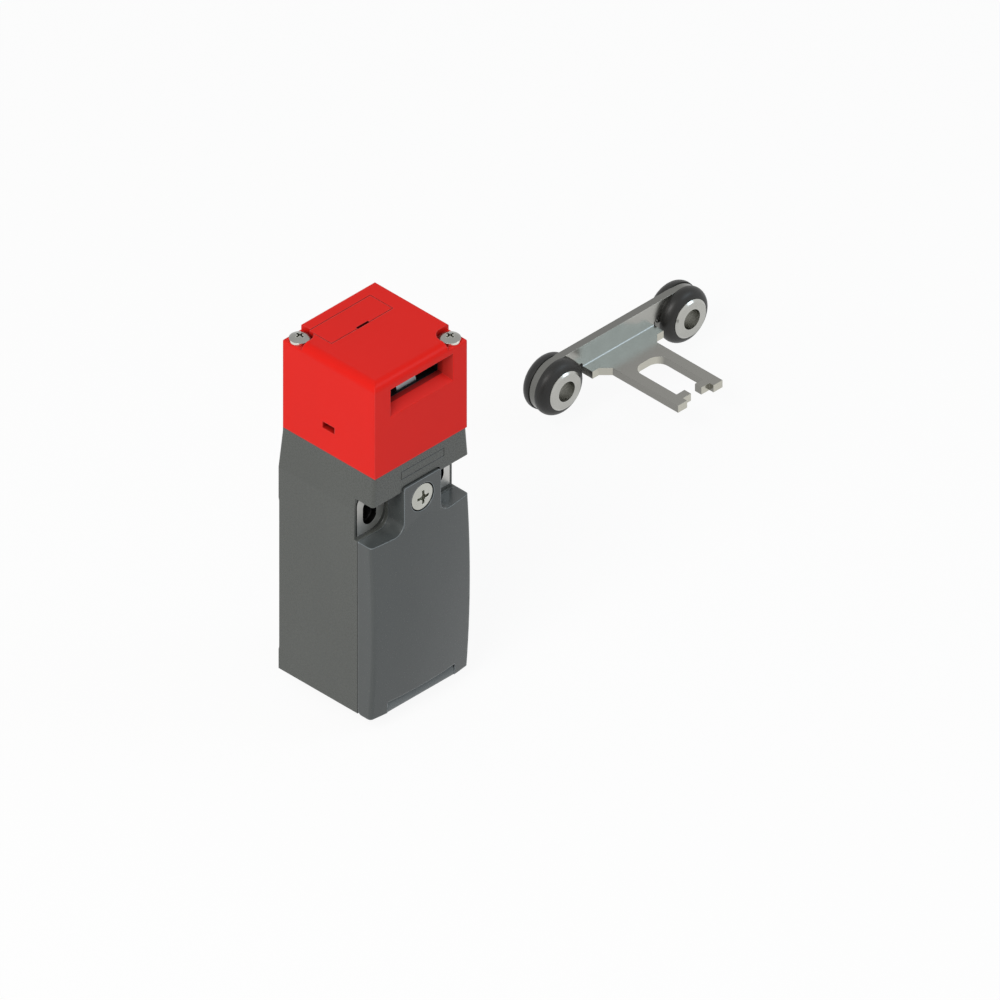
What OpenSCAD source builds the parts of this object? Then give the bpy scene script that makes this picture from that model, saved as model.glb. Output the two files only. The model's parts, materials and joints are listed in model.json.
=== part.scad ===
// Tongue interlock switch with its separate angled key.
// The switch stands on z = 0 with its head axis on x = y = 0 and its entry slot facing -Y.
// The key stands on the same plane, to the switch's +X side. Millimetres throughout.

/* [Head] */
// Side of the square head
head_w = 30; // [30:0.1:30.2]
// Height of the head
head_h = 26.2; // [26:0.1:27]
// Radius of the two soft top edges
head_soft_r = 2.2; // [1.5:0.1:2.6]
// Width of the key slot's mouth
mouth_w = 20.5; // [20:0.1:20.6]
// Height of the key slot's mouth
mouth_h = 7.7; // [7.2:0.1:7.8]
// Sideways offset of both key slots
slot_off = 0.35; // [0:0.05:0.4]
// Rim radius of the cam rotor
rotor_r = 11; // [10.6:0.1:11]
// Thickness of the cam rotor
rotor_t = 6.2; // [5:0.1:6.4]
// Plunger travel for the rotor's full turn
travel = 3; // [2.6:0.1:3]

/* [Body] */
// Half width of the body
body_hw = 15.92; // [15.7:0.01:16.2]
// Rear face of the body
body_back = 15.51; // [15.4:0.01:15.8]
// Height from the floor to the head
body_h = 67.8; // [67.8:0.1:69]
// Height of the cover's shoulders
shoulder_z = 48.45; // [48.3:0.05:48.6]
// Distance between the two fixing holes
fixing_pitch = 22; // [21.5:0.1:22.2]
// Radius of the fixing holes
fixing_r = 2.2; // [2.1:0.05:2.2]
// Radius of the cable entry
entry_r = 9.25; // [8:0.05:9.3]
// Depth of the cable entry
entry_len = 9; // [8:0.5:10]

/* [Cover] */
// How far the cover's crown stands out from the head axis
crown_y = 16.6; // [16.2:0.05:16.9]
// Radius of the crown across the cover
crown_rx = 112; // [100:1:140]
// Radius of the crown down the cover
crown_rz = 310; // [280:5:360]
// Wall of the cover
cover_wall = 2; // [1.8:0.1:2.2]

/* [Key] */
// Distance between the two bushings
key_pitch = 40.8; // [40:0.1:42]
// Width of the tongue
tongue_w = 14.5; // [14:0.1:15]
// Reach of the tongue from the upright plate
tongue_len = 26.7; // [26:0.1:27]
// Thickness of the key's sheet
key_t = 2; // [1.8:0.1:2]
// Outer radius of the rubber grommets
grommet_r = 7.1; // [7:0.05:7.2]
// Bore radius of the steel bushings
bushing_r = 2.6; // [2.2:0.05:2.65]
// Middle of the key along X
key_x = 122.4; // [110:0.1:130]
// Front of the key's upright plate
key_y = 43; // [38:0.1:50]

/* [Hidden] */

$fn = 64;
eps = 0.01;
seat = 0.05;     // gap left where two separate pieces seat
slip = 0.06;     // radial clearance of a running fit

red = "#cf302b";
dark_grey = "#5d605f";
steel = "#b4b4ae";
black = "#26282a";
cream = "#d9d4c4";
brass = "#c9a45a";

// ---------- levels and planes shared by several pieces ----------
half = head_w / 2;
head_top = body_h + head_h;
collar_z = body_h - 7.8;             // underside of the collar, over the fixing recesses
body_top = body_h - seat;
parting_y = -10.25;                  // the cover meets the housing here
recess_y = -9.15;                    // floor of the fixing recesses
fixing_z = shoulder_z + 5.85;
cavity_x = 13.2;
cavity_back = 12.4;
cavity_top = shoulder_z - 2.85;
screw_z = collar_z - 4.1;            // the cover's screw
hinge_y = -11.5;
hinge_z = 1.2;                       // as far above the underside as the cheeks' heels are round
hinge_bar_x = 10.8;
hinge_bar_r = 3.5;                   // the hinge bar stays inside this radius
bar_top = 3;
pin_r = 0.75;
pin_len = 2.6;
tab_x = 5.95;
tab_top = collar_z + 1;
tab_y = -15.6;
tab_corner = 0.7;
tab_gap = 0.25;
flare_z = collar_z - 3.2;            // above here the sides lean in to the head's width
flare_top = body_h - 0.9;

mouth_z = body_h + 19.15;            // mid-height of the front slot
channel_x = 9.1;                     // half width of both tongue channels
channel_z = 2.27;                    // half height of the front channel
top_slot_y = 8.2;                    // middle of the top slot
cam_y = 0.5;
cam_z = body_h + 13.3;
axle_r = 2;
rotor_gap = 0.6;                     // side clearance of the rotor
rotor_room = 0.35;                   // clearance round the rotor's rim
front_jaw = -57.8;                   // directions of the rotor's jaws, from +Z towards +Y
top_jaw = 44.3;
jaw_w = 3.2;
rotor_turn = 90;
base_top = body_h + 1.95;
head_screw = 12.25;                  // the two head screws stand this far off both axes
ledge_z = head_top - 1.6;
ledge_r = 3.2;

tip_r = 0.8;
tip_z = cam_z - rotor_r - slip - tip_r;
plunger_r = 2;
plunger_foot = cavity_top - 3.25;
spring_floor = body_h - 10.8;
spring_room = 3.6;
collar_r = 3.2;                      // flange of the plunger

block_z = cavity_top - 20.2;         // underside of the contact block
block_top = cavity_top - 0.25;
slider_foot = block_z + 4.8;
slider_top = plunger_foot - seat;
slider_x = 4;
slider_front = -5.8;
slider_back = 4;
nc_z = slider_foot + 8.2;           // undersides of the two bridges at rest
no_z = slider_foot + 1.4;
bridge_t = 0.8;
button_t = 0.4;
bridge_x = 8.6;
contact_x = 7.6;
tip_t = 0.3;
strip_t = 0.8;
terminal_x = 8;
tab_front = -6.2;
nc_strip = nc_z + bridge_t + button_t + travel + tip_t + 0.03;
no_strip = no_z - button_t - tip_t - strip_t - 0.03;
terminal_drop = 3.2;                 // screw axis below (NC) or above (NO) its strip
terminal_levels = [nc_strip - terminal_drop, no_strip + strip_t + terminal_drop];
terminal_hw = 2.2;                   // half width of a terminal
screw_core_r = 1.25;                 // shank of a terminal screw

key_axis_z = grommet_r;
key_mid = key_y + key_t / 2;
tongue_z = key_axis_z - key_t / 2;

// ---------- helpers ----------
module block(low, high) translate(low) cube(high - low);

// Extrudes an (x, z) outline from y0 to y1
module along_y(y0, y1) translate([0, y1, 0]) rotate([90, 0, 0]) linear_extrude(y1 - y0) children();

// Extrudes a (y, z) outline from x0 to x1
module along_x(x0, x1) translate([x0, 0, 0]) rotate([90, 0, 90]) linear_extrude(x1 - x0) children();

// Draws a thing and its mirror image across the middle plane
module both_sides() {
    children();
    mirror([1, 0, 0]) children();
}

// Disc whose axis runs along Y
module disc_y(r, y0, y1) translate([0, y1, 0]) rotate([90, 0, 0]) cylinder(r = r, h = y1 - y0);

// Disc whose axis runs along X
module disc_x(r, x0, x1) translate([x0, 0, 0]) rotate([0, 90, 0]) cylinder(r = r, h = x1 - x0);

// Upright slot outline: two half circles joined by straight sides
module slot_outline(r, h) {
    for (s = [-1, 1]) translate([0, s * (h / 2 - r)]) circle(r);
    square([2 * r, h - 2 * r], center = true);
}

// Round-wire coil spring standing on z = 0 with closed ends
function coil_rise(t, turns, h, wire) =
    let (dead = 0.9, flat = wire * dead * 1.04, live = turns - 2 * dead)
    t < dead ? flat * t / dead
    : t > turns - dead ? h - wire - flat * (turns - t) / dead
    : flat + (h - wire - 2 * flat) * (t - dead) / live;
module coil(r, wire, h, turns, steps = 16, sides = 6) {
    rings = round(turns * steps);
    points = [for (i = [0:rings]) let (t = i / steps, a = 360 * t, z = wire / 2 + coil_rise(t, turns, h, wire))
        for (k = [0:sides - 1]) let (b = 360 * k / sides, d = r + wire / 2 * cos(b))
            [d * cos(a), d * sin(a), z + wire / 2 * sin(b)]];
    walls = [for (i = [0:rings - 1], k = [0:sides - 1], upper = [0, 1])
        let (j = (k + 1) % sides, a = i * sides, b = a + sides)
        upper == 1 ? [a + k, b + k, b + j] : [a + k, b + j, a + j]];
    first = [for (k = [0:sides - 1]) k];
    last = [for (k = [sides - 1:-1:0]) rings * sides + k];
    polyhedron(points, concat([first, last], walls), convexity = 8);
}

// ---------- cover: a doubly crowned lid ----------
crown_z = 26;
corner_r = 0.9;
// Half section across the crown, as (distance from the far axis, x)
module crown_section(inset) {
    r = crown_rx - inset;
    hw = body_hw - inset;
    corner = hw - corner_r;
    reach = sqrt(pow(r - corner_r, 2) - corner * corner);
    depth = 12;
    translate([crown_rz - crown_rx, 0]) {
        intersection() {
            circle(r, $fn = 360);
            translate([r - depth, -corner]) square([depth + 1, 2 * corner]);
        }
        translate([r - depth, -hw]) square([reach - r + depth, 2 * hw]);
        for (s = [-1, 1]) translate([reach, s * corner]) circle(corner_r);
    }
}
// The solid behind a front that curves both across and down
module crown(inset = 0) {
    sweep = 16;
    translate([0, crown_rz - crown_y, crown_z]) rotate([90, 0, -90]) rotate([0, 0, -sweep / 2])
        rotate_extrude(angle = sweep, $fn = 720) crown_section(inset);
}

tab_fillet = 3;
// Front outline: full width up to the shoulders, then the screw tab
module cover_outline() {
    neck = tab_x + tab_fillet;
    difference() {
        union() {
            translate([-body_hw, 0]) square([2 * body_hw, shoulder_z]);
            translate([-neck, shoulder_z - eps]) square([2 * neck, tab_fillet]);
            tab_outline(0);
        }
        for (s = [-1, 1]) translate([s * neck, shoulder_z + tab_fillet]) circle(tab_fillet);
    }
}
// The screw tab, with its two upper corners rounded
module tab_outline(grow) {
    x = tab_x + grow;
    top = tab_top + grow;
    translate([-x, shoulder_z - 1]) square([2 * x, top - tab_corner - shoulder_z + 1]);
    translate([tab_corner - x, top - 2 * tab_corner]) square([2 * (x - tab_corner), 2 * tab_corner]);
    for (s = [-1, 1]) translate([s * (x - tab_corner), top - tab_corner]) circle(tab_corner);
}

cover_back = parting_y - seat;
head_bore_y = -14.1;                 // floor of the cover screw's counterbore
module cover() color(dark_grey) difference() {
    union() {
        intersection() {
            along_y(-20, cover_back) cover_outline();
            crown();
        }
        along_y(tab_y, cover_back) tab_outline(0);
    }
    cover_hollow();
    hinge_relief();
    translate([0, 0, screw_z]) {
        disc_y(screw_head_r + 0.35, -20, head_bore_y);
        disc_y(screw_shank_r + 0.5, -15, 0);
    }
}

hollow_foot = 8;
module cover_hollow() intersection() {
    x = body_hw - cover_wall - 0.6;
    r = 2;
    along_y(-20, 0) difference() {
        translate([-x, hollow_foot]) square([2 * x, cavity_top - 0.4 - hollow_foot]);
        for (s = [-1, 1]) translate([s * x, cavity_top - 0.4]) circle(r);
    }
    crown(cover_wall);
}

// Room for the hinge bar, holes for its pins, and the round heels of both cheeks
module hinge_relief() {
    x = hinge_bar_x + 0.1;
    sweep_r = hinge_bar_r + 0.1;
    heel_r = cover_back - hinge_y;
    translate([0, hinge_y, hinge_z]) {
        disc_x(sweep_r, -x, x);
        for (s = [0, 1]) mirror([s, 0, 0]) {
            disc_x(pin_r + slip, x - 1, x + pin_len + 0.1);
            difference() {
                block([0, 0, -hinge_z - 1], [body_hw + 1, heel_r + 1, 0]);
                disc_x(heel_r, -1, body_hw + 2);
            }
        }
    }
    block([-x, -20, -1], [x, 0, bar_top + 0.15]);
}

gasket_x = 14.3;                     // middle line of the cover's gasket
gasket_foot = 6.4;
gasket_w = 1;
gasket_t = 0.9;
module cover_gasket() color(black) gasket_run(gasket_w, cover_back + seat, gasket_t);

// Rectangular run of the cover's gasket, pressed back into the housing's rim
module gasket_run(w, front, depth) along_y(front, front + depth) difference() {
    top = cavity_top + 1.2;
    translate([-gasket_x - w / 2, gasket_foot - w / 2]) square([2 * gasket_x + w, top - gasket_foot + w]);
    translate([-gasket_x + w / 2, gasket_foot + w / 2]) square([2 * gasket_x - w, top - gasket_foot - w]);
}

screw_head_r = 3.4;
screw_shank_r = 1.6;
screw_end_y = -6.4;
module cover_screw() color(steel) translate([0, 0, screw_z]) difference() {
    rim_y = tab_y + 0.15;
    crown_r = 14;
    union() {
        intersection() {
            disc_y(screw_head_r, tab_y - 1, head_bore_y - seat);
            translate([0, rim_y - 0.4 + crown_r, 0]) sphere(crown_r, $fn = 128);
        }
        disc_y(screw_shank_r, head_bore_y - 1, screw_end_y);
    }
    for (a = [0, 90]) rotate([0, a, 0]) block([-0.4, -20, -1.9], [0.4, tab_y + 1.2, 1.9]);
    disc_y(0.85, -20, tab_y + 1.35);
}

insert_r = 2.9;
insert_back = -4.6;
module screw_insert() color(brass) translate([0, 0, screw_z]) difference() {
    disc_y(insert_r, parting_y + seat, insert_back);
    disc_y(1.95, -12, 0);
}

// ---------- housing ----------
module housing_front_outline() polygon([
    [-body_hw, 0], [body_hw, 0], [body_hw, flare_z], [half, flare_top], [half, body_top],
    [-half, body_top], [-half, flare_top], [-body_hw, flare_z]
]);
pad_t = 0.2;                         // the back rests on two raised pads
pad_slope = 0.8;
low_pad = 5.4;
high_pad = shoulder_z - 0.25;
module housing_side_outline() polygon([
    [parting_y, 0], [parting_y, shoulder_z], [recess_y, shoulder_z], [recess_y, collar_z],
    [-half, collar_z], [-half, body_top], [half, body_top], [half, flare_top],
    [body_back, flare_z], [body_back, high_pad], [body_back - pad_t, high_pad - pad_slope],
    [body_back - pad_t, low_pad + pad_slope], [body_back, low_pad], [body_back, 0]
]);

// Rounds the collar's two front corners, which lean in with its sides
collar_corner = 0.8;
module collar_corners() both_sides() translate([half, -half, flare_top])
    rotate([0, -atan((body_hw - half) / (flare_top - flare_z)), 0]) {
        r = collar_corner;
        foot = collar_z - flare_top - 1;
        difference() {
            block([-r, -1, foot], [1, r, 2]);
            translate([-r, r, foot - 1]) cylinder(r = r, h = 6 - foot);
        }
    }

plate_r = 4.7;                       // rounded inner side of a fixing plate
plate_h = 10.6;
plate_t = 1.5;
plate_edge = 15.1;
plate_corner = 2.3;                  // the outer upper corner is round, the lower one square
slot_h = 7;
module plate_outline(grow) {
    r = plate_r + grow;
    top = plate_h / 2 + grow;
    edge = plate_edge - fixing_pitch / 2 + grow;
    intersection() {
        slot_outline(r, 2 * top);
        translate([-20, -20]) square([20 + edge, 40]);
    }
    translate([0, -top]) square([edge, 2 * top - plate_corner]);
    translate([0, -top]) square([edge - plate_corner, 2 * top]);
    translate([edge - plate_corner, top - plate_corner]) circle(plate_corner);
}
module fixing_plates() color(steel) both_sides() translate([fixing_pitch / 2, 0, fixing_z])
    along_y(recess_y - 0.1, recess_y + plate_t) difference() {
        plate_outline(0);
        slot_outline(fixing_r, slot_h);
    }

cap_w = 14.1;                        // sunk outline on the front of the collar
cap_h = 2.4;
cap_depth = 0.18;
module housing() color(dark_grey) difference() {
    union() {
        intersection() {
            along_y(-20, 20) housing_front_outline();
            along_x(-20, 20) housing_side_outline();
        }
        along_y(parting_y, recess_y + 1) intersection() {
            cover_outline();
            translate([-tab_x - tab_fillet, shoulder_z - 1]) square([30, collar_z - shoulder_z + 1.5]);
        }
        hinge_bar();
    }
    housing_cavity();
    cable_entry();
    both_sides() translate([fixing_pitch / 2, 0, fixing_z]) fixing_hole();
    along_y(-20, parting_y) intersection() {
        tab_outline(tab_gap);
        translate([-20, collar_z - 1]) square(40);
    }
    collar_corners();
    translate([0, 0, screw_z]) disc_y(insert_r + 0.02, -12, insert_back + seat);
    gasket_run(gasket_w + 0.1, parting_y - 1, gasket_t + 1 + seat);
    translate([0, cam_y, 0]) plunger_way();
    for (s = [-1, 1]) translate([s * head_screw, -s * head_screw, body_h - 6.6]) cylinder(r = 1.52, h = 10);
    cap_groove();
}

// Pocket for the plate, the slot behind it and the round hole out of the back
module fixing_hole() {
    slot_depth = 4;
    along_y(-12, recess_y + plate_t + seat) plate_outline(0.2);
    along_y(-12, recess_y + plate_t + slot_depth) slot_outline(fixing_r, slot_h);
    disc_y(fixing_r, -6, 20);
}

// The wiring space and the contact block's chamber behind the cover
module housing_cavity() along_y(-12, cavity_back) difference() {
    translate([-cavity_x, entry_len]) square([2 * cavity_x, cavity_top - entry_len]);
    for (s = [-1, 1]) {
        web = 2.2;
        translate([s * cavity_x - web / 2, block_z - 2.6]) square([web, 2.5]);
    }
}

module cable_entry() translate([0, (parting_y + body_back) / 2, -1]) cylinder(r = entry_r, h = entry_len + 2);

module plunger_way() {
    translate([slot_off, 0, cavity_top - 1]) cylinder(r = plunger_r + slip, h = 30);
    translate([slot_off, 0, spring_floor]) cylinder(r = spring_room, h = 20);
    translate([slot_off, 0, body_top - gasket_ring_t]) difference() {
        cylinder(r = ring_r + ring_w + 0.05, h = 5);
        translate([0, 0, -1]) cylinder(r = ring_r - 0.05, h = 7);
    }
}

module cap_groove() {
    w = 0.25;
    z0 = body_h - 4.4;
    x0 = 0.55 - cap_w / 2;
    difference() {
        block([x0, -20, z0], [x0 + cap_w, cap_depth - half, z0 + cap_h]);
        block([x0 + w, -21, z0 + w], [x0 + cap_w - w, 1 - half, z0 + cap_h - w]);
    }
}

// Bar along the housing's lower front edge, with the pins the cover turns on
module hinge_bar() {
    intersection() {
        block([-hinge_bar_x, -20, seat], [hinge_bar_x, parting_y + 1, bar_top]);
        union() {
            translate([0, hinge_y, hinge_z]) disc_x(hinge_bar_r, -20, 20);
            block([-20, hinge_y, 0], [20, 0, 10]);
        }
    }
    translate([0, hinge_y, hinge_z]) disc_x(pin_r, -hinge_bar_x - pin_len, hinge_bar_x + pin_len);
}

// ---------- head ----------
edge_r = 0.5;
module soft_outline(soft, hard) {
    // upper left corner soft, upper right corner hard
    w = head_w;
    difference() {
        square([w, head_h]);
        translate([0, head_h - soft]) square(soft);
        translate([w - hard, head_h - hard]) square(hard);
    }
    translate([soft, head_h - soft]) circle(soft);
    translate([w - hard, head_h - hard]) circle(hard);
}

module head_shell() color(red) difference() {
    intersection() {
        along_y(-half, half) translate([-half, body_h]) soft_outline(head_soft_r, edge_r);
        along_x(-half, half) translate([-half, body_h]) soft_outline(head_soft_r, edge_r);
    }
    carrier_block(seat);
    rotor_room();
    front_slot();
    top_slot();
    for (s = [-1, 1]) translate([s * head_screw, -s * head_screw, 0]) rotate([0, 0, s > 0 ? 0 : 180]) screw_seat();
    side_pocket();
}

// Blind pocket in the head's left wall
module side_pocket() block([-20, cam_y - 2.3, body_h + 6.3], [-9, cam_y + 1.6, body_h + 8.1]);

// The inner block that guides the key's tongue and holds the rotor; it fills the shell from below
carrier_x = 10;
carrier_front = -10.9;
carrier_back = 12;
carrier_cap = 91.4;
module carrier_block(grow) translate([slot_off, 0, 0])
    block([-carrier_x - grow, carrier_front - grow, body_h - (grow > 0 ? 1 : 0)],
          [carrier_x + grow, carrier_back + grow, carrier_cap + grow]);

module cam_carrier() color(black) difference() {
    carrier_block(0);
    rotor_room();
    front_slot();
    top_slot();
}

// Open from below: the rotor drops in, then its axle, then the base plate holds both
module rotor_room() {
    x = rotor_t / 2 + rotor_gap;
    r = rotor_r + rotor_room;
    translate([slot_off, cam_y, 0]) {
        along_x(-x, x) {
            translate([0, cam_z]) circle(r);
            translate([-r, body_h - 1]) square([2 * r, cam_z - body_h + 1]);
        }
        along_x(-axle_x - 0.1, axle_x + 0.1) {
            translate([0, cam_z]) circle(axle_r + seat);
            translate([-axle_r - seat, body_h - 1]) square([2 * (axle_r + seat), cam_z - body_h + 1]);
        }
        block([-base_x - 0.1, -base_y - 0.1, body_h - 1], [base_x + 0.1, base_y + 0.1, base_top + seat]);
    }
}

funnel = 2.5;
channel_end = 9;
module front_slot() translate([slot_off, 0, mouth_z]) {
    block([-channel_x, -20, -channel_z], [channel_x, channel_end, channel_z]);
    intersection() {
        along_x(-20, 20) polygon([
            [-half - 1, -mouth_h / 2 - 0.6], [-half + funnel, -channel_z],
            [-half + funnel, channel_z], [-half - 1, mouth_h / 2 + 0.6]
        ]);
        translate([0, 0, -5]) linear_extrude(10) polygon([
            [-mouth_w / 2 - 0.46, -half - 1], [mouth_w / 2 + 0.46, -half - 1],
            [channel_x, -half + funnel], [-channel_x, -half + funnel]
        ]);
    }
}

plug_x = 9.9;
plug_y = 3.6;
plug_t = 1.6;
plug_gap = 0.18;
top_channel_foot = 71;
module top_slot() translate([slot_off, top_slot_y, 0]) {
    block([-channel_x, -2.3, top_channel_foot], [channel_x, 2.3, head_top + 1]);
    x = plug_x + plug_gap;
    y = plug_y + plug_gap;
    block([-x, -y, head_top - plug_t - seat], [x, y, head_top + 1]);
    translate([0, 0, head_top]) pry_notch(-5);
}

// Stepped corner that a screw head sits in, open to both outer faces
module screw_seat() {
    translate([0, 0, ledge_z]) {
        cylinder(r = ledge_r, h = 5);
        block([-ledge_r, -5, 0], [5, 0, 5]);
        block([0, -5, 0], [5, ledge_r, 5]);
    }
    translate([0, 0, body_h - 1]) cylinder(r = 1.7, h = 30);
}

// Where a blade reaches in to lift the plug
module pry_notch(depth) block([-1.55, -plug_y - 0.3, depth], [2.35, -plug_y + 0.45, 1]);

// Closes the second entry; it lifts out when the key is to come from above
module slot_plug() color(red) translate([slot_off, top_slot_y, head_top]) difference() {
    union() {
        block([-plug_x, -plug_y, -plug_t], [plug_x, plug_y, 0]);
        block([-channel_x + 0.15, -2.15, -4.3], [channel_x - 0.15, 2.15, -plug_t + eps]);
    }
    block([-channel_x + 1.2, -1.1, -5], [channel_x - 1.2, 1.1, -plug_t]);
    block([-rotor_t / 2 - rotor_gap, -5, -5], [rotor_t / 2 + rotor_gap, 5, -plug_t]);
    pry_notch(-plug_t - 1);
}

// Pan-head screws down through the whole head
pan_r = 2.55;
pan_h = 1.45;
module head_screws() color(steel) for (s = [-1, 1]) translate([s * head_screw, -s * head_screw, ledge_z + seat])
    difference() {
        dome_r = 4.6;
        shank = ledge_z - body_h + 6.25;
        union() {
            intersection() {
                cylinder(r = pan_r, h = pan_h + 1);
                translate([0, 0, pan_h - dome_r]) sphere(dome_r, $fn = 96);
            }
            translate([0, 0, -shank]) cylinder(r = 1.5, h = shank + 0.3);
        }
        for (a = [0, 90]) rotate(a) block([-1.15, -0.28, pan_h - 0.9], [1.15, 0.28, pan_h + 1]);
        translate([0, 0, pan_h - 1]) cylinder(r = 0.55, h = 2);
    }

base_x = 9.3;
base_y = 11.2;
axle_x = 9;
post_w = 1.9;
module head_base() color(black) translate([slot_off, cam_y, 0]) difference() {
    inner = rotor_t / 2 + rotor_gap;
    union() {
        block([-base_x, -base_y, body_h], [base_x, base_y, base_top]);
        both_sides() block([inner, -post_w, body_h + 1], [axle_x, post_w, cam_z]);
    }
    translate([0, 0, cam_z]) disc_x(axle_r + 0.02, -20, 20);
    translate([0, 0, body_h - 1]) cylinder(r = plunger_r + 0.3, h = 5);
}

ring_r = 4.6;
ring_w = 1.4;
gasket_ring_t = 0.8;
module head_gasket() color(black) translate([slot_off, cam_y, body_top - gasket_ring_t + seat]) difference() {
    cylinder(r = ring_r + ring_w, h = gasket_ring_t);
    translate([0, 0, -1]) cylinder(r = ring_r, h = 3);
}

// ---------- cam and plunger ----------
// Rim radius at an angle measured from +Z towards +Y; the bottom quarter is a snail
function rim(a) =
    a < 75 || a >= 180 ? rotor_r
    : a < 180 - rotor_turn ? rotor_r - travel
    : rotor_r - travel * (180 - a) / rotor_turn;

module jaw(angle, depth) rotate(-angle) {
    translate([0, depth + jaw_w / 2]) circle(jaw_w / 2);
    translate([-jaw_w / 2, depth + jaw_w / 2]) square([jaw_w, rotor_r]);
}

module cam_rotor() color(steel) translate([slot_off, cam_y, cam_z]) along_x(-rotor_t / 2, rotor_t / 2) difference() {
    polygon([for (a = [0:3:357]) rim(a) * [sin(a), cos(a)]]);
    jaw(front_jaw, 4.4);
    jaw(top_jaw, 6.4);
    circle(axle_r + slip);
}

module cam_axle() color(steel) translate([slot_off, cam_y, cam_z]) disc_x(axle_r, -axle_x, axle_x);

plunger_neck = body_h - 0.8;
seal_z = spring_floor - 4;
module plunger() color(cream) translate([slot_off, cam_y, 0]) difference() {
    blade_x = 1.7;
    union() {
        translate([0, 0, plunger_foot]) cylinder(r = plunger_r, h = plunger_neck - plunger_foot);
        translate([0, 0, plunger_neck - 3.6]) cylinder(r = collar_r, h = 0.8);
        block([-blade_x, -tip_r, plunger_neck - 1], [blade_x, tip_r, tip_z]);
        translate([0, 0, tip_z]) disc_x(tip_r, -blade_x, blade_x);
    }
    translate([0, 0, seal_z]) rotate_extrude() translate([plunger_r - 0.42, 0]) square([1, 1]);
}

spring_h = plunger_neck - 3.6 - spring_floor - seat;
module plunger_spring() color(steel) translate([slot_off, cam_y, spring_floor]) coil(2.8, 0.6, spring_h, 6.5);

module plunger_seal() color(black) translate([slot_off, cam_y, seal_z + 0.5]) rotate_extrude()
    translate([plunger_r - 0.2, 0]) circle(0.2);

// ---------- contact system ----------
block_x = 12.4;
block_front = -7.4;
block_back = 9.6;
module contact_block() color(black) difference() {
    gap_h = bridge_t + button_t + travel + tip_t + strip_t + 0.35;
    block([-block_x, block_front, block_z], [block_x, block_back, block_top]);
    block([-slider_x - 0.2, slider_front - 0.2, block_z + 0.9], [slider_x + 0.2, slider_back + 0.2, 60]);
    for (low = [nc_z - 0.2, no_strip - 0.1]) block([-10.4, -2.6, low], [10.4, 2.6, low + gap_h]);
    both_sides() translate([terminal_x, 0, 0]) {
        for (z = [nc_strip, no_strip]) block([-2.5, tab_front - 0.4, z - 0.1], [2.5, 0, z + strip_t + 0.1]);
        for (z = terminal_levels) {
            block([-2.8, -9, z - 3.1], [2.8, tab_front + 0.9, z + 3.1]);
            translate([0, 0, z]) disc_y(1.8, -9, -3.1);
        }
    }
}

// Slides inside the block and carries both bridges
window_x = 1.9;
nc_window = nc_z + bridge_t + seat - 3.6;
no_window = no_z - seat;
module contact_carrier() color(cream) difference() {
    block([-slider_x, slider_front, slider_foot], [slider_x, slider_back, slider_top]);
    block([-5, -window_x, nc_window], [5, window_x, nc_z + bridge_t + seat]);
    block([-5, -window_x, no_window], [5, window_x, no_window + 3.4]);
}

module bridge(face) {
    block([-bridge_x, -1.7, 0], [bridge_x, 1.7, bridge_t]);
    both_sides() translate([contact_x, 0, face > 0 ? bridge_t - eps : -button_t]) cylinder(r = 1, h = button_t + eps);
}
module nc_bridge() color(brass) translate([0, 0, nc_z]) bridge(1);
module no_bridge() color(brass) translate([0, 0, no_z]) bridge(-1);

module contact_springs() color(steel) {
    translate([0, 0, nc_window + seat]) coil(1.2, 0.4, nc_z - nc_window - 2 * seat, 4);
    translate([0, 0, no_z + bridge_t + seat]) coil(1.2, 0.4, 3.4 - bridge_t - 3 * seat, 4);
}

module return_spring() color(steel) translate([0, -0.9, block_z + 0.9])
    coil(2.2, 0.5, slider_foot - block_z - 0.9 - seat, 4.5);

// Fixed contact: a tongue under or over the bridge, bent into a tab for its screw
module fixed_contact(strip, drop) {
    down = drop < 0;
    reach = abs(drop) + terminal_hw;
    tab_foot = down ? strip + strip_t - reach : strip;
    x0 = terminal_x - terminal_hw;
    x1 = terminal_x + terminal_hw;
    difference() {
        union() {
            block([x0, tab_front, strip], [x1, 2.1, strip + strip_t]);
            block([x0, tab_front, tab_foot], [x1, tab_front + strip_t, tab_foot + reach]);
            translate([contact_x, 0, down ? strip - tip_t : strip + strip_t - eps])
                cylinder(r = 1.1, h = tip_t + eps);
        }
        translate([terminal_x, 0, strip + strip_t / 2 + drop]) disc_y(screw_core_r + 0.1, -9, -4);
    }
}
tab_drop = terminal_drop + strip_t / 2;
module nc_contacts() color(brass) both_sides() fixed_contact(nc_strip, -tab_drop);
module no_contacts() color(brass) both_sides() fixed_contact(no_strip, tab_drop);

module at_terminals() both_sides() for (z = terminal_levels) translate([terminal_x, tab_front, z]) children();

clamp_t = 0.9;
module terminal_clamps() color(steel) at_terminals() difference() {
    block([-terminal_hw, -clamp_t - seat, -terminal_hw], [terminal_hw, -seat, terminal_hw]);
    disc_y(screw_core_r + 0.25, -5, 5);
}

module terminal_screws() color(steel) at_terminals() difference() {
    head_y = -clamp_t - 2 * seat;
    union() {
        disc_y(2.1, head_y - 1.6, head_y);
        disc_y(screw_core_r, head_y - 1, 2.6);
    }
    block([-3, head_y - 2, -0.3], [3, head_y - 0.8, 0.3]);
}

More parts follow.
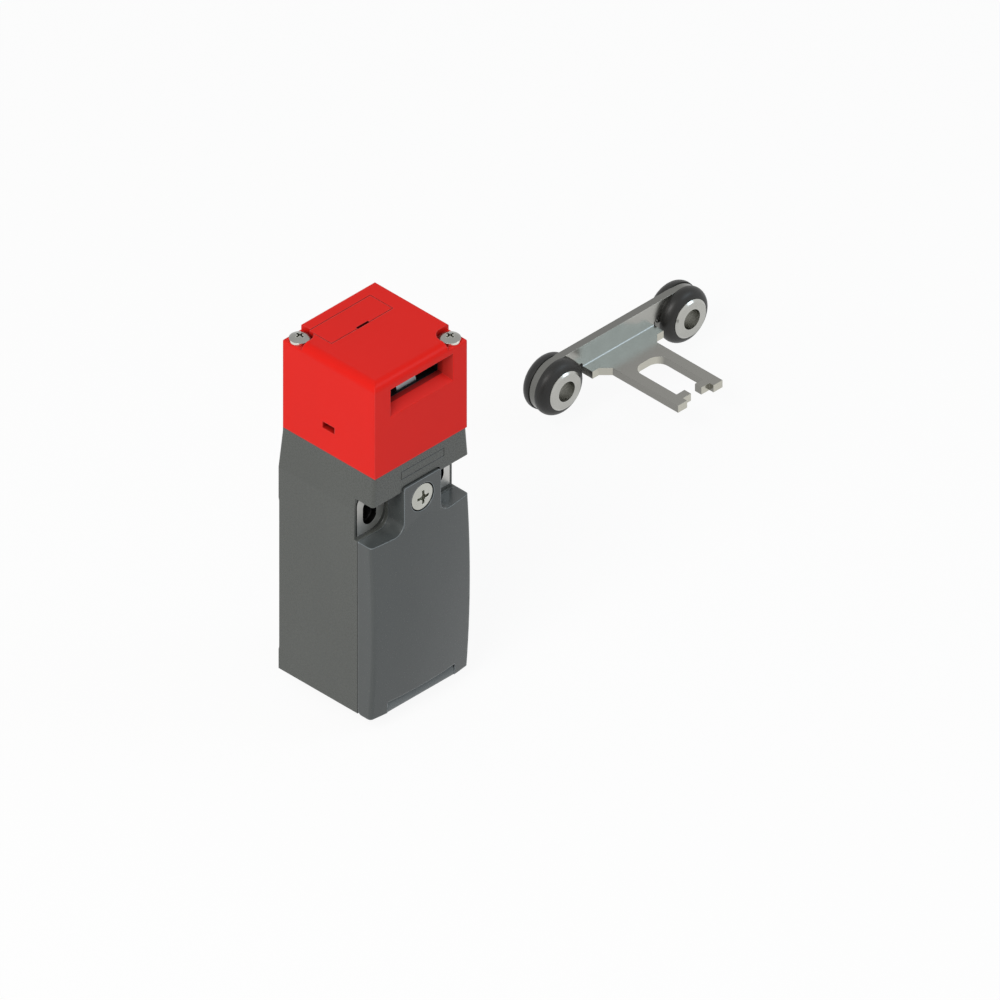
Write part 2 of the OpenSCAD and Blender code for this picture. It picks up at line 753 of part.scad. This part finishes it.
// ---------- key ----------
plate_end_r = grommet_r - 0.3;
fold_top = tongue_z + key_t;
ledge_x = 11.6;
relief = 1.1;
hole_r = 4.1;                        // hole in the plate that the rubber passes through
module key_upright() along_y(key_y, key_y + key_t) difference() {
    union() {
        for (s = [-1, 1]) translate([s * key_pitch / 2, key_axis_z]) circle(plate_end_r);
        translate([-key_pitch / 2, fold_top]) square([key_pitch, key_axis_z + plate_end_r - fold_top]);
    }
    for (s = [-1, 1]) {
        translate([s * key_pitch / 2, key_axis_z]) circle(hole_r);
        translate([s * (ledge_x + relief / 2), fold_top]) {
            translate([0, relief / 2]) circle(relief / 2);
            translate([-relief / 2, -1]) square([relief, 1 + relief / 2]);
        }
    }
}

prong_x = tongue_w / 2;
slot_x = prong_x - 2.95;
hook_x = 1.7;
module key_tongue_outline() {
    ledge = 3.15;
    shoulder_x = prong_x + 2.25;
    slot_end = tongue_len - 17.95;
    hook_foot = tongue_len - 3.45;
    slot_r = 3;
    difference() {
        polygon([
            [-ledge_x, eps], [-ledge_x, -ledge], [-shoulder_x, -ledge], [-prong_x, -ledge - 2.25],
            [-prong_x, -tongue_len], [prong_x, -tongue_len], [prong_x, -ledge - 2.25],
            [shoulder_x, -ledge], [ledge_x, -ledge], [ledge_x, eps]
        ]);
        translate([-slot_x, -tongue_len - 1]) square([2 * slot_x, tongue_len + 1 - slot_end - slot_r]);
        translate([-slot_x + slot_r, -slot_end - 2 * slot_r]) square([2 * (slot_x - slot_r), 2 * slot_r]);
        for (s = [-1, 1]) translate([s * (slot_x - slot_r), -slot_end - slot_r]) circle(slot_r);
    }
    for (s = [-1, 1]) translate([s * (hook_x + slot_x) / 2, -hook_foot - 1.05])
        square([slot_x - hook_x + 2 * eps, 2.1], center = true);
}

// One sheet, bent square: the upright carries the bushings, the tongue runs forward
module key_plate() color(steel) translate([key_x, 0, 0]) {
    key_upright();
    translate([0, key_y, tongue_z]) linear_extrude(key_t) key_tongue_outline();
    along_x(-ledge_x, ledge_x) intersection() {
        translate([key_y - eps, tongue_z]) square([key_t + eps, key_t + eps]);
        translate([key_y, fold_top]) circle(key_t);
    }
}

module at_bushings() for (s = [-1, 1]) translate([key_x + s * key_pitch / 2, key_mid, key_axis_z])
    rotate([90, 0, 0]) children();

rubber_r = 2.4;                      // section of each half grommet
rubber_step = 1.6;                   // each half stands this far off the sheet's middle
bushing_len = 9.2;
flange_r = 5;
flange_t = 1;
tube_r = 3.5;
module rubber_grommets() color(black) at_bushings() rotate_extrude() difference() {
    union() {
        for (s = [-1, 1]) translate([grommet_r - rubber_r, s * rubber_step]) circle(rubber_r);
        translate([tube_r + 0.02, -2]) square([1, 4]);
    }
    translate([hole_r - 0.03, -key_t / 2]) square([10, key_t]);
    translate([0, -10]) square([tube_r + 0.02, 20]);
    for (s = [-1, 1]) translate([0, s * (bushing_len / 2 - flange_t / 2)])
        square([2 * flange_r + 0.04, flange_t + 0.04], center = true);
}

module steel_bushings() color(steel) at_bushings() rotate_extrude() difference() {
    chamfer = 0.45;
    union() {
        translate([bushing_r, -bushing_len / 2]) square([tube_r - bushing_r, bushing_len]);
        for (s = [0, 1]) mirror([0, s]) polygon([
            [bushing_r, bushing_len / 2 - flange_t], [flange_r, bushing_len / 2 - flange_t],
            [flange_r, bushing_len / 2 - chamfer], [flange_r - chamfer, bushing_len / 2],
            [bushing_r, bushing_len / 2]
        ]);
    }
}

housing();
fixing_plates();
cover();
cover_gasket();
cover_screw();
screw_insert();
head_shell();
slot_plug();
head_screws();
cam_carrier();
head_base();
head_gasket();
cam_rotor();
cam_axle();
plunger();
plunger_spring();
plunger_seal();
contact_block();
contact_carrier();
nc_bridge();
no_bridge();
contact_springs();
return_spring();
nc_contacts();
no_contacts();
terminal_clamps();
terminal_screws();
key_plate();
rubber_grommets();
steel_bushings();
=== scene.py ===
"""Looks for the tongue interlock switch and its key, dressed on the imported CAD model."""
import json
import math

import bmesh
import bpy
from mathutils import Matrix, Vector


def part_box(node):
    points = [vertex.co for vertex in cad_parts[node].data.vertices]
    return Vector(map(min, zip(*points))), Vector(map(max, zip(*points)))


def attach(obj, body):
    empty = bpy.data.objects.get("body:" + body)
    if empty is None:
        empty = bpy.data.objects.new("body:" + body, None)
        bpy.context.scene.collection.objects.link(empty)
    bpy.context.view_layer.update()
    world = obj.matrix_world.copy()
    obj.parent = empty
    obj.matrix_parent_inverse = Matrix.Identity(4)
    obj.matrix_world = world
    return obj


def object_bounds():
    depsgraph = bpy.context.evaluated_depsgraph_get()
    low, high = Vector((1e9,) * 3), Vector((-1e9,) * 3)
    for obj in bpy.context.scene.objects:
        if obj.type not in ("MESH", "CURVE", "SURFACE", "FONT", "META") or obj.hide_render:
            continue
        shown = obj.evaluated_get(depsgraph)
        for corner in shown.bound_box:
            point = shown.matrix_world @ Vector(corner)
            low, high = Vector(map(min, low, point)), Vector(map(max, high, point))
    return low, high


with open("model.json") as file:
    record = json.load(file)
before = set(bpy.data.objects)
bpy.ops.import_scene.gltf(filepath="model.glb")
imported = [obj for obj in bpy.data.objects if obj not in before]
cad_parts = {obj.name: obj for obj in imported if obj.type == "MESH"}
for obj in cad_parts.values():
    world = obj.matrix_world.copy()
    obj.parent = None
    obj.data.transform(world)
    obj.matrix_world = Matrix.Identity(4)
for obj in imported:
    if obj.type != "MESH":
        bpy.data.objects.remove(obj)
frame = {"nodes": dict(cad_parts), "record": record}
cad_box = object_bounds()
nodes = frame["nodes"]

MM = 0.001


def place(name, data):
    thing = bpy.data.objects.new(name, data)
    bpy.context.scene.collection.objects.link(thing)
    return thing


# ---------- shader helpers ----------
def new_material(name):
    material = bpy.data.materials.new(name)
    material.use_nodes = True
    tree = material.node_tree
    return material, tree, tree.nodes["Principled BSDF"]


def feed(tree, target, value):
    """Links value to an input when it is a socket, and sets it when it is a constant."""
    if isinstance(value, bpy.types.NodeSocket):
        tree.links.new(value, target)
    else:
        target.default_value = value


def calc(tree, operation, a, b=0.0):
    node = tree.nodes.new("ShaderNodeMath")
    node.operation = operation
    feed(tree, node.inputs[0], a)
    feed(tree, node.inputs[1], b)
    return node.outputs[0]


def object_noise(tree, scale, detail=3.0, roughness=0.55, stretch=(1, 1, 1)):
    coords = tree.nodes.new("ShaderNodeTexCoord")
    mapping = tree.nodes.new("ShaderNodeMapping")
    mapping.inputs["Scale"].default_value = stretch
    noise = tree.nodes.new("ShaderNodeTexNoise")
    noise.inputs["Scale"].default_value = scale
    noise.inputs["Detail"].default_value = detail
    noise.inputs["Roughness"].default_value = roughness
    tree.links.new(coords.outputs["Object"], mapping.inputs["Vector"])
    tree.links.new(mapping.outputs["Vector"], noise.inputs["Vector"])
    return noise.outputs["Fac"]


def remap(tree, value, low, high, start=0.3, end=0.7):
    """Turns value's span from start to end into low to high, and holds it outside."""
    node = tree.nodes.new("ShaderNodeMapRange")
    node.inputs["From Min"].default_value = start
    node.inputs["From Max"].default_value = end
    node.inputs["To Min"].default_value = low
    node.inputs["To Max"].default_value = high
    tree.links.new(value, node.inputs["Value"])
    return node.outputs["Result"]


def two_tone(tree, value, dark, light):
    ramp = tree.nodes.new("ShaderNodeValToRGB")
    for stop, position, colour in zip(ramp.color_ramp.elements, (0.35, 0.65), (dark, light)):
        stop.position = position
        stop.color = (*colour, 1)
    tree.links.new(value, ramp.inputs["Fac"])
    return ramp.outputs["Color"]


def blend(tree, factor, first, second):
    """The socket first where factor is 0, and the colour second where it is 1."""
    node = tree.nodes.new("ShaderNodeMixRGB")
    tree.links.new(factor, node.inputs["Fac"])
    tree.links.new(first, node.inputs["Color1"])
    node.inputs["Color2"].default_value = (*second, 1)
    return node.outputs["Color"]


def bump(tree, value, strength, distance, edge=0.0):
    """Surface relief from value, over edges rounded by the radius edge."""
    node = tree.nodes.new("ShaderNodeBump")
    node.inputs["Strength"].default_value = strength
    node.inputs["Distance"].default_value = distance
    tree.links.new(value, node.inputs["Height"])
    if edge:
        rounded = tree.nodes.new("ShaderNodeBevel")
        rounded.samples = 8
        rounded.inputs["Radius"].default_value = edge
        tree.links.new(rounded.outputs["Normal"], node.inputs["Normal"])
    return node.outputs["Normal"]


def nearness(tree, reach, convex):
    """Rises along convex edges, or in concave corners and gaps, within reach."""
    node = tree.nodes.new("ShaderNodeAmbientOcclusion")
    node.samples = 8
    node.inside = convex
    node.only_local = convex
    node.inputs["Distance"].default_value = reach
    return calc(tree, "SUBTRACT", 1.0, node.outputs["AO"])


def rough_range(tree, shader, grain, roughness):
    """Roughness that wavers with grain about a middle value."""
    tree.links.new(remap(tree, grain, roughness - 0.03, roughness + 0.04), shader.inputs["Roughness"])


# ---------- zones: 1 on a part of a node's surface, 0 elsewhere ----------
def along(tree, source, axis):
    """One component of the object-space output source of Texture Coordinate."""
    coords = tree.nodes.new("ShaderNodeTexCoord")
    split = tree.nodes.new("ShaderNodeSeparateXYZ")
    tree.links.new(coords.outputs[source], split.inputs[0])
    return split.outputs[axis]


def squareness(tree, axis):
    """1 on faces that look along an axis, either way, and 0 on those beside it."""
    return calc(tree, "ABSOLUTE", along(tree, "Normal", axis))


def band(tree, axis, middle, half):
    """1 where a coordinate lies within half of middle, with soft ends."""
    off = calc(tree, "ABSOLUTE", calc(tree, "SUBTRACT", along(tree, "Object", axis), middle))
    return remap(tree, off, 1.0, 0.0, 0.6 * half, 1.2 * half)


def within(low, high, leftward=False):
    """A zone that is 1 inside the box from low to high.

    With leftward, only on the faces that look along -X."""
    def zone(tree):
        result = calc(tree, "LESS_THAN", along(tree, "Normal", "X"), -0.2) if leftward else 1.0
        for axis, start, end in zip("XYZ", low, high):
            where = along(tree, "Object", axis)
            for side, limit in (("GREATER_THAN", start), ("LESS_THAN", end)):
                result = calc(tree, "MULTIPLY", calc(tree, side, where, limit), result)
        return result
    return zone


def turned_side(tree):
    """The faces that stand round an upright axis."""
    return remap(tree, squareness(tree, "Z"), 1.0, 0.0, 0.3, 0.75)


def cut_edge(tree):
    """The faces round a sheet that lies across Y."""
    return calc(tree, "LESS_THAN", squareness(tree, "Y"), 0.5)


def flat_tongue(tree):
    """The key's sheet in front of its fold."""
    return calc(tree, "LESS_THAN", along(tree, "Object", "Y"), BEND_Y)


def sheared_front(tree):
    """The tongue's cut faces that look along Y."""
    return calc(tree, "MULTIPLY", remap(tree, squareness(tree, "Y"), 0.0, 1.0, 0.3, 0.8), flat_tongue(tree))


def upright_rim(tree):
    """The cut edge round the key's upright."""
    behind = calc(tree, "GREATER_THAN", along(tree, "Object", "Y"), BEND_Y)
    return calc(tree, "MULTIPLY", cut_edge(tree), behind)


def fold_line(tree):
    """The inside corner between the key's tongue and its upright."""
    return calc(tree, "MULTIPLY", band(tree, "Y", BEND_Y, 0.16 * MM), band(tree, "Z", FOLD_Z, 0.16 * MM))


# ---------- places on the CAD that the zones use ----------
PARTING_Y = -10.275 * MM        # joint between cover and housing
PARTING_TOP = 48.4 * MM         # just under the cover's shoulders

key_low, key_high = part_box("key_plate")
BEND_Y = key_high.y - 2.05 * MM                     # front face of the key's upright
FOLD_Z = (key_low.z + key_high.z) / 2 + 1.0 * MM    # top face of its tongue

FACE_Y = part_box("head_shell")[0].y
INSIDE = 0.08 * MM              # the slot's walls get painted shade from this far behind the face
SLOT_HALF = 10.7 * MM           # the front slot, with its funnel
SLOT_FOOT, SLOT_TOP = 82.7 * MM, 91.2 * MM
CHEEK_X = 7.4 * MM
FUNNEL_DEPTH, SLOT_DEPTH = 2.5 * MM, 7.0 * MM


def in_slot(left, front, back, leftward=False):
    """The front slot's walls from x = left rightwards, between two depths behind the face."""
    return within((left, FACE_Y + front, SLOT_FOOT), (SLOT_HALF, FACE_Y + back, SLOT_TOP), leftward)


# walls of the front slot that get painted shade
SILL = in_slot(-SLOT_HALF, INSIDE, FUNNEL_DEPTH)
THROAT = in_slot(-SLOT_HALF, FUNNEL_DEPTH, SLOT_DEPTH)
CHEEK = in_slot(CHEEK_X, INSIDE, SLOT_DEPTH, leftward=True)

plug_low, plug_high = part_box("slot_plug")
PLUG_X = (plug_low.x + plug_high.x) / 2
NOTCH_FOOT, NOTCH_TOP = 90.0 * MM, 93.93 * MM   # the pry notch's walls, painted near-black as shade, up to just under the head's top
NOTCH = within((PLUG_X - 1.6 * MM, plug_low.y - 0.4 * MM, NOTCH_FOOT),
               (PLUG_X + 2.4 * MM, plug_low.y + 0.5 * MM, NOTCH_TOP))

BAR_HALF = 10.85 * MM           # the hinge bar between the cover's cheeks, painted lighter as a highlight
BAR_FRONT, BAR_BACK = -16.0 * MM, -10.6 * MM
BAR_FOOT, BAR_TOP = -0.1 * MM, 5.0 * MM
BAR = within((-BAR_HALF, BAR_FRONT, BAR_FOOT), (BAR_HALF, BAR_BACK, BAR_TOP))

HOLE_X, HOLE_REACH = 11.0 * MM, 3.0 * MM        # the fixing holes, behind their plates, painted near-black as shadow
HOLE_FRONT, HOLE_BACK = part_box("fixing_plates")[1].y + 0.02 * MM, 15.3 * MM
HOLE_FOOT, HOLE_TOP = 47.5 * MM, 61.0 * MM
HOLES = [within((x - HOLE_REACH, HOLE_FRONT, HOLE_FOOT), (x + HOLE_REACH, HOLE_BACK, HOLE_TOP))
         for x in (-HOLE_X, HOLE_X)]

# ---------- colours, linear ----------
RED = (0.71, 0.0125, 0.0078)
# painted shade in the front slot: a paler red on the sill, darker red in the throat and on the right cheek
SILL_SHADE = (0.69, 0.024, 0.019)
THROAT_SHADE = (0.42, 0.03, 0.028)
CHEEK_SHADE = (0.48, 0.025, 0.019)
# painted shade inside the pry notch
NOTCH_SHADE = (0.03, 0.003, 0.003)
GREY = (0.078, 0.083, 0.077)
# painted highlight on the hinge bar
BAR_HIGHLIGHT = (0.108, 0.122, 0.126)
# painted shadow inside the fixing holes
HOLE_SHADOW = (0.012, 0.012, 0.013)
COVER_GREY = (0.067, 0.074, 0.074)
# painted highlight colour for the cover's convex edges
COVER_HIGHLIGHT = (0.23, 0.26, 0.28)
# painted highlight on the upright sides of steel heads
STEEL_SIDE_HIGHLIGHT = (0.72, 0.72, 0.66)
# painted darker reflection on the key's tongue
SHEET_TONGUE_SHADE = (0.235, 0.232, 0.215)
# painted highlight on the tongue's cut faces that look along Y
SHEET_FRONT_HIGHLIGHT = (0.49, 0.48, 0.42)
# painted darker reflection on the cut edge round the key's upright
SHEET_RIM_SHADE = (0.165, 0.165, 0.155)
# painted highlight along the key's fold
SHEET_FOLD_HIGHLIGHT = (0.43, 0.44, 0.44)
# painted shade on the fixing plates' cut edges
PLATE_EDGE_SHADE = (0.03, 0.03, 0.03)


def shade(colour, factor):
    return tuple(min(1.0, c * factor) for c in colour)


# ---------- materials ----------
def moulded_plastic(name, colour, roughness=0.3, spread=0.025, gloss=0.1, highlight_share=0.3, edge=0.35 * MM,
                    seam_shadow=False, zones=(), highlight_colour=None):
    """Fine-eroded moulding: faint flow marks, a fine grain, painted highlights on edges, painted shade in
    gaps.

    spread is how far the flow marks stray from colour, highlight_share how far the edges go towards
    highlight_colour, a painted highlight, and edge their radius. seam_shadow paints a shadow line along the
    parting gap. zones are (zone, tint) pairs."""
    material, tree, shader = new_material(name)
    # dark is the colour of the painted shade in recesses and of the painted shadow line at the seam
    dark = tuple(0.18 * c + 0.004 for c in colour)
    flow = object_noise(tree, 60, 2, stretch=(1, 1, 0.35))
    base = two_tone(tree, flow, shade(colour, 1 - spread), shade(colour, 1 + spread))
    # painted highlight along convex edges, where a lamp would glint
    edge_highlight = remap(tree, nearness(tree, 0.4 * MM, True), 0.0, highlight_share, 0.27, 0.45)
    base = blend(tree, edge_highlight, base, highlight_colour or tuple(0.75 * c + 0.12 for c in colour))
    for zone, tint in zones:
        base = blend(tree, zone(tree), base, tint)
    # painted shadow line along the parting gap, below the shoulders
    if seam_shadow:
        below = calc(tree, "LESS_THAN", along(tree, "Object", "Z"), PARTING_TOP)
        line = calc(tree, "MULTIPLY", band(tree, "Y", PARTING_Y, 0.14 * MM), below)
        base = blend(tree, line, base, dark)
    # painted shade in recesses, gaps and deep corners
    recess_shade = remap(tree, nearness(tree, 6 * MM, False), 0.0, 0.8, 0.45, 0.85)
    tree.links.new(blend(tree, recess_shade, base, dark), shader.inputs["Base Color"])
    grain = object_noise(tree, 2600, 2, 0.6)
    rough_range(tree, shader, grain, roughness)
    tree.links.new(bump(tree, grain, 0.05, 0.01 * MM, edge), shader.inputs["Normal"])
    shader.inputs["Specular IOR Level"].default_value = gloss
    return material


def satin_metal(name, colour, roughness=0.3, rim=(0.3 * MM, 1.3), corner_shade=(1.0 * MM, 0.5), stretch=(1, 1, 1),
                edge=0.0, zones=()):
    """Rolled or plated metal: fine drawn grain, cloudy tone, painted highlights on rims and painted shade
    in corners.

    rim is the painted rim highlight's width and how much brighter it is, corner_shade the painted corner
    shade's reach and how dark it is, stretch the grain's scale along each axis. zones are (zone, tint)
    pairs."""
    material, tree, shader = new_material(name)
    cloud = object_noise(tree, 180, 3)
    base = two_tone(tree, cloud, shade(colour, 0.96), shade(colour, 1.04))
    # painted highlight along convex rims
    rim_highlight = remap(tree, nearness(tree, rim[0], True), 0.0, 1.0, 0.3, 0.45)
    base = blend(tree, rim_highlight, base, shade(colour, rim[1]))
    for zone, tint in zones:
        base = blend(tree, zone(tree), base, tint)
    # painted shade in concave corners and recesses
    corner_shaded = remap(tree, nearness(tree, corner_shade[0], False), 0.0, corner_shade[1], 0.45, 0.95)
    tree.links.new(blend(tree, corner_shaded, base, shade(colour, 0.3)), shader.inputs["Base Color"])
    drawn = object_noise(tree, 1500, 3, stretch=stretch)
    rough_range(tree, shader, drawn, roughness)
    tree.links.new(bump(tree, drawn, 0.05, 0.005 * MM, edge), shader.inputs["Normal"])
    shader.inputs["Metallic"].default_value = 1.0
    return material


def soft_rubber(name, colour):
    """Moulded rubber: cloudy bloom, a fine matt skin and painted shade in the grooves."""
    material, tree, shader = new_material(name)
    cloud = object_noise(tree, 140, 4)
    base = two_tone(tree, cloud, shade(colour, 0.85), shade(colour, 1.2))
    # painted shade in grooves and corners
    groove_shade = remap(tree, nearness(tree, 0.8 * MM, False), 0.0, 0.6, 0.35, 0.9)
    tree.links.new(blend(tree, groove_shade, base, shade(colour, 0.35)), shader.inputs["Base Color"])
    tree.links.new(remap(tree, cloud, 0.36, 0.46), shader.inputs["Roughness"])
    fine = object_noise(tree, 1800, 3)
    tree.links.new(bump(tree, fine, 0.2, 0.01 * MM), shader.inputs["Normal"])
    shader.inputs["Specular IOR Level"].default_value = 0.35
    return material


MATERIALS = {
    "dark_plastic": moulded_plastic("dark_plastic", GREY, 0.27, gloss=0.35, seam_shadow=True),
    "red_plastic": moulded_plastic("red_plastic", RED, 0.34, spread=0.012),
    "black_plastic": moulded_plastic("black_plastic", (0.012, 0.013, 0.014), 0.45),
    "cream_plastic": moulded_plastic("cream_plastic", (0.68, 0.62, 0.48), 0.4),
    # steel: painted highlight on the sides of its heads
    "steel": satin_metal("steel", (0.29, 0.29, 0.27), 0.24, rim=(0.3 * MM, 1.8), corner_shade=(1.2 * MM, 0.85),
                         edge=0.08 * MM, zones=((turned_side, STEEL_SIDE_HIGHLIGHT),)),
    "brass": satin_metal("brass", (0.66, 0.45, 0.17), 0.26),
    "rubber": soft_rubber("rubber", (0.016, 0.0158, 0.0148)),
}
FINISHES = {
    # the head: painted shade inside the front slot and the pry notch
    "head_shell": moulded_plastic(
        "shell_plastic", RED, 0.34, spread=0.012,
        zones=((SILL, SILL_SHADE), (THROAT, THROAT_SHADE), (CHEEK, CHEEK_SHADE), (NOTCH, NOTCH_SHADE))),
    # the plug: painted shade inside the pry notch
    "slot_plug": moulded_plastic("plug_plastic", RED, 0.34, spread=0.012, zones=((NOTCH, NOTCH_SHADE),)),
    # the cover: a strong painted highlight along its convex edges, and a painted shadow line at the seam
    "cover": moulded_plastic("cover_plastic", COVER_GREY, 0.24, gloss=0.4, highlight_share=1.0, edge=0.45 * MM,
                             seam_shadow=True, highlight_colour=COVER_HIGHLIGHT),
    # the housing: painted shadow in the fixing holes and a painted highlight on the hinge bar
    "housing": moulded_plastic("housing_plastic", GREY, 0.27, gloss=0.35, seam_shadow=True,
                               zones=(*((hole, HOLE_SHADOW) for hole in HOLES), (BAR, BAR_HIGHLIGHT))),
    # the key sheet's zones paint reflections: a darker tongue, lighter front cut faces, a darker upright
    # rim, a light fold line
    "key_plate": satin_metal(
        "stainless_sheet", (0.385, 0.385, 0.36), 0.22, rim=(0.25 * MM, 1.5), corner_shade=(0.6 * MM, 0.3),
        stretch=(1, 6, 6), edge=0.06 * MM,
        zones=((flat_tongue, SHEET_TONGUE_SHADE), (sheared_front, SHEET_FRONT_HIGHLIGHT), (upright_rim, SHEET_RIM_SHADE),
               (fold_line, SHEET_FOLD_HIGHLIGHT))),
    "cam_rotor": satin_metal("sintered_steel", (0.33, 0.35, 0.36), 0.45, corner_shade=(1.0 * MM, 0.2)),
    "steel_bushings": satin_metal("bright_nickel", (0.43, 0.43, 0.405), 0.24, corner_shade=(3 * MM, 0.6)),
    # fixing plates: painted shade on their cut edges
    "fixing_plates": satin_metal("zinc_plate", (0.52, 0.52, 0.50), 0.4, corner_shade=(2.5 * MM, 0.9),
                                 zones=((cut_edge, PLATE_EDGE_SHADE),)),
    "cover_screw": satin_metal("bright_steel", (0.47, 0.475, 0.435), 0.24, corner_shade=(1.0 * MM, 0.0),
                               edge=0.08 * MM),
}

for part in frame["record"]["subparts"]:
    node = part["node"]
    mesh = nodes[node].data
    mesh.materials.clear()
    mesh.materials.append(FINISHES.get(node, MATERIALS[part["material_slot"]]))


# ---------- thread of the cable entry ----------
def entry_thread(name, middle, wall, height, pitch, foot, top):
    """A helical ridge on the wall of the round hole under the body, for the cable gland.

    middle is the hole's axis, wall its radius, height the ridge's, and foot and top the
    heights between which it runs."""
    steps = 48
    rings = round((top - foot) / pitch * steps)
    root = 0.03 * MM        # the ridge's foot reaches this far into the wall
    profile = ((root, -0.42), (-height, -0.1), (-height, 0.1), (root, 0.42))
    mesh = bmesh.new()
    loops = []
    for i in range(rings + 1):
        turn = math.tau * i / steps
        rise = foot + (top - foot) * i / rings
        loops.append([mesh.verts.new((middle[0] + (wall + out) * math.cos(turn),
                                      middle[1] + (wall + out) * math.sin(turn),
                                      rise + share * pitch)) for out, share in profile])
    for low, high in zip(loops, loops[1:]):
        for k in range(4):
            mesh.faces.new((low[k], low[(k + 1) % 4], high[(k + 1) % 4], high[k]))
    mesh.faces.new(loops[0][::-1])
    mesh.faces.new(loops[-1])
    bmesh.ops.recalc_face_normals(mesh, faces=mesh.faces)
    data = bpy.data.meshes.new(name)
    mesh.to_mesh(data)
    mesh.free()
    data.materials.append(MATERIALS["dark_plastic"])
    piece = place(name, data)
    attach(piece, "switch")


entry_thread("entry_thread", middle=(0, 2.63 * MM), wall=9.25 * MM, height=0.3 * MM, pitch=1.5 * MM,
             foot=0.9 * MM, top=8.2 * MM)


# ---------- floor, lights, camera ----------
FLOOR_DROP = 4.2 * MM           # clear of the cover when it hangs open
FLOOR_HALF = 3.0
FLOOR_GLOW = 0.92               # share of plain white that keeps the floor pale
WORLD_LIGHT = 0.4
AIM = Vector((0.04, 0.01, 0.05))        # what the lamps point at, from one metre away
LAMPS = (       # name, direction, side, watts, colour
    ("key", (-0.47, -0.15, 0.43), 0.5, 6.4, (1.0, 0.995, 0.97)),
    ("edge", (1.0, -1.0, 1.0), 0.4, 1.8, (0.72, 0.88, 1.0)),
)
FRAME_PIXELS = 1000
PIXELS_PER_MM = 4.337
VIEW_RIGHT, VIEW_UP = 28.84 * MM, 38.55 * MM    # the picture's middle, in the camera's plane


def look(thing, direction):
    thing.rotation_mode = "QUATERNION"
    thing.rotation_quaternion = direction.to_track_quat("-Z", "Y")


def seen_directly(tree):
    """1 for the camera's rays and for those mirrored or let through by a surface."""
    path = tree.nodes.new("ShaderNodeLightPath")
    mirrored = calc(tree, "MAXIMUM", path.outputs["Is Camera Ray"], path.outputs["Is Glossy Ray"])
    return calc(tree, "MAXIMUM", mirrored, path.outputs["Is Transmission Ray"])


def floor_material():
    """Matt white that takes the shadow, with enough glow of its own to look white."""
    material, tree, shader = new_material("floor_white")
    shader.inputs["Base Color"].default_value = (0.86, 0.86, 0.86, 1)
    shader.inputs["Roughness"].default_value = 0.8
    glow = tree.nodes.new("ShaderNodeEmission")
    mix = tree.nodes.new("ShaderNodeMixShader")
    tree.links.new(calc(tree, "MULTIPLY", seen_directly(tree), FLOOR_GLOW), mix.inputs["Fac"])
    tree.links.new(shader.outputs[0], mix.inputs[1])
    tree.links.new(glow.outputs[0], mix.inputs[2])
    tree.links.new(mix.outputs[0], tree.nodes["Material Output"].inputs["Surface"])
    return material


def make_floor():
    mesh = bpy.data.meshes.new("floor")
    corners = [(x * FLOOR_HALF, y * FLOOR_HALF, 0) for x, y in ((-1, -1), (1, -1), (1, 1), (-1, 1))]
    mesh.from_pydata(corners, [], [(0, 1, 2, 3)])
    mesh.materials.append(floor_material())
    floor = place("floor", mesh)
    floor.location.z = cad_box[0].z - FLOOR_DROP


def make_world():
    """Dim light on the object, and plain white where the world itself is seen."""
    world = bpy.data.worlds.new("studio")
    bpy.context.scene.world = world
    world.use_nodes = True
    tree = world.node_tree
    background = tree.nodes["Background"]
    background.inputs["Color"].default_value = (1, 1, 1, 1)
    strength = remap(tree, seen_directly(tree), WORLD_LIGHT, 1.0, start=0.0, end=1.0)
    tree.links.new(strength, background.inputs["Strength"])


def make_camera():
    """Isometric view from the front left, framed as a product picture."""
    data = bpy.data.cameras.new("camera")
    data.type = "ORTHO"
    data.ortho_scale = FRAME_PIXELS / PIXELS_PER_MM * MM
    data.clip_start = 0.01
    data.clip_end = 10
    camera = place("camera", data)
    back = Vector((-1, -1, 1)).normalized()
    right = Vector((1, -1, 0)).normalized()
    camera.location = right * VIEW_RIGHT + back.cross(right) * VIEW_UP + back
    look(camera, -back)
    bpy.context.scene.camera = camera


def area_light(name, direction, side, power, colour):
    data = bpy.data.lights.new(name, "AREA")
    data.size = side
    data.energy = power
    data.color = colour
    lamp = place(name, data)
    away = Vector(direction).normalized()
    lamp.location = AIM + away
    look(lamp, -away)


make_floor()
make_world()
make_camera()
for lamp in LAMPS:
    area_light(*lamp)
bpy.context.scene.view_settings.view_transform = "Standard"
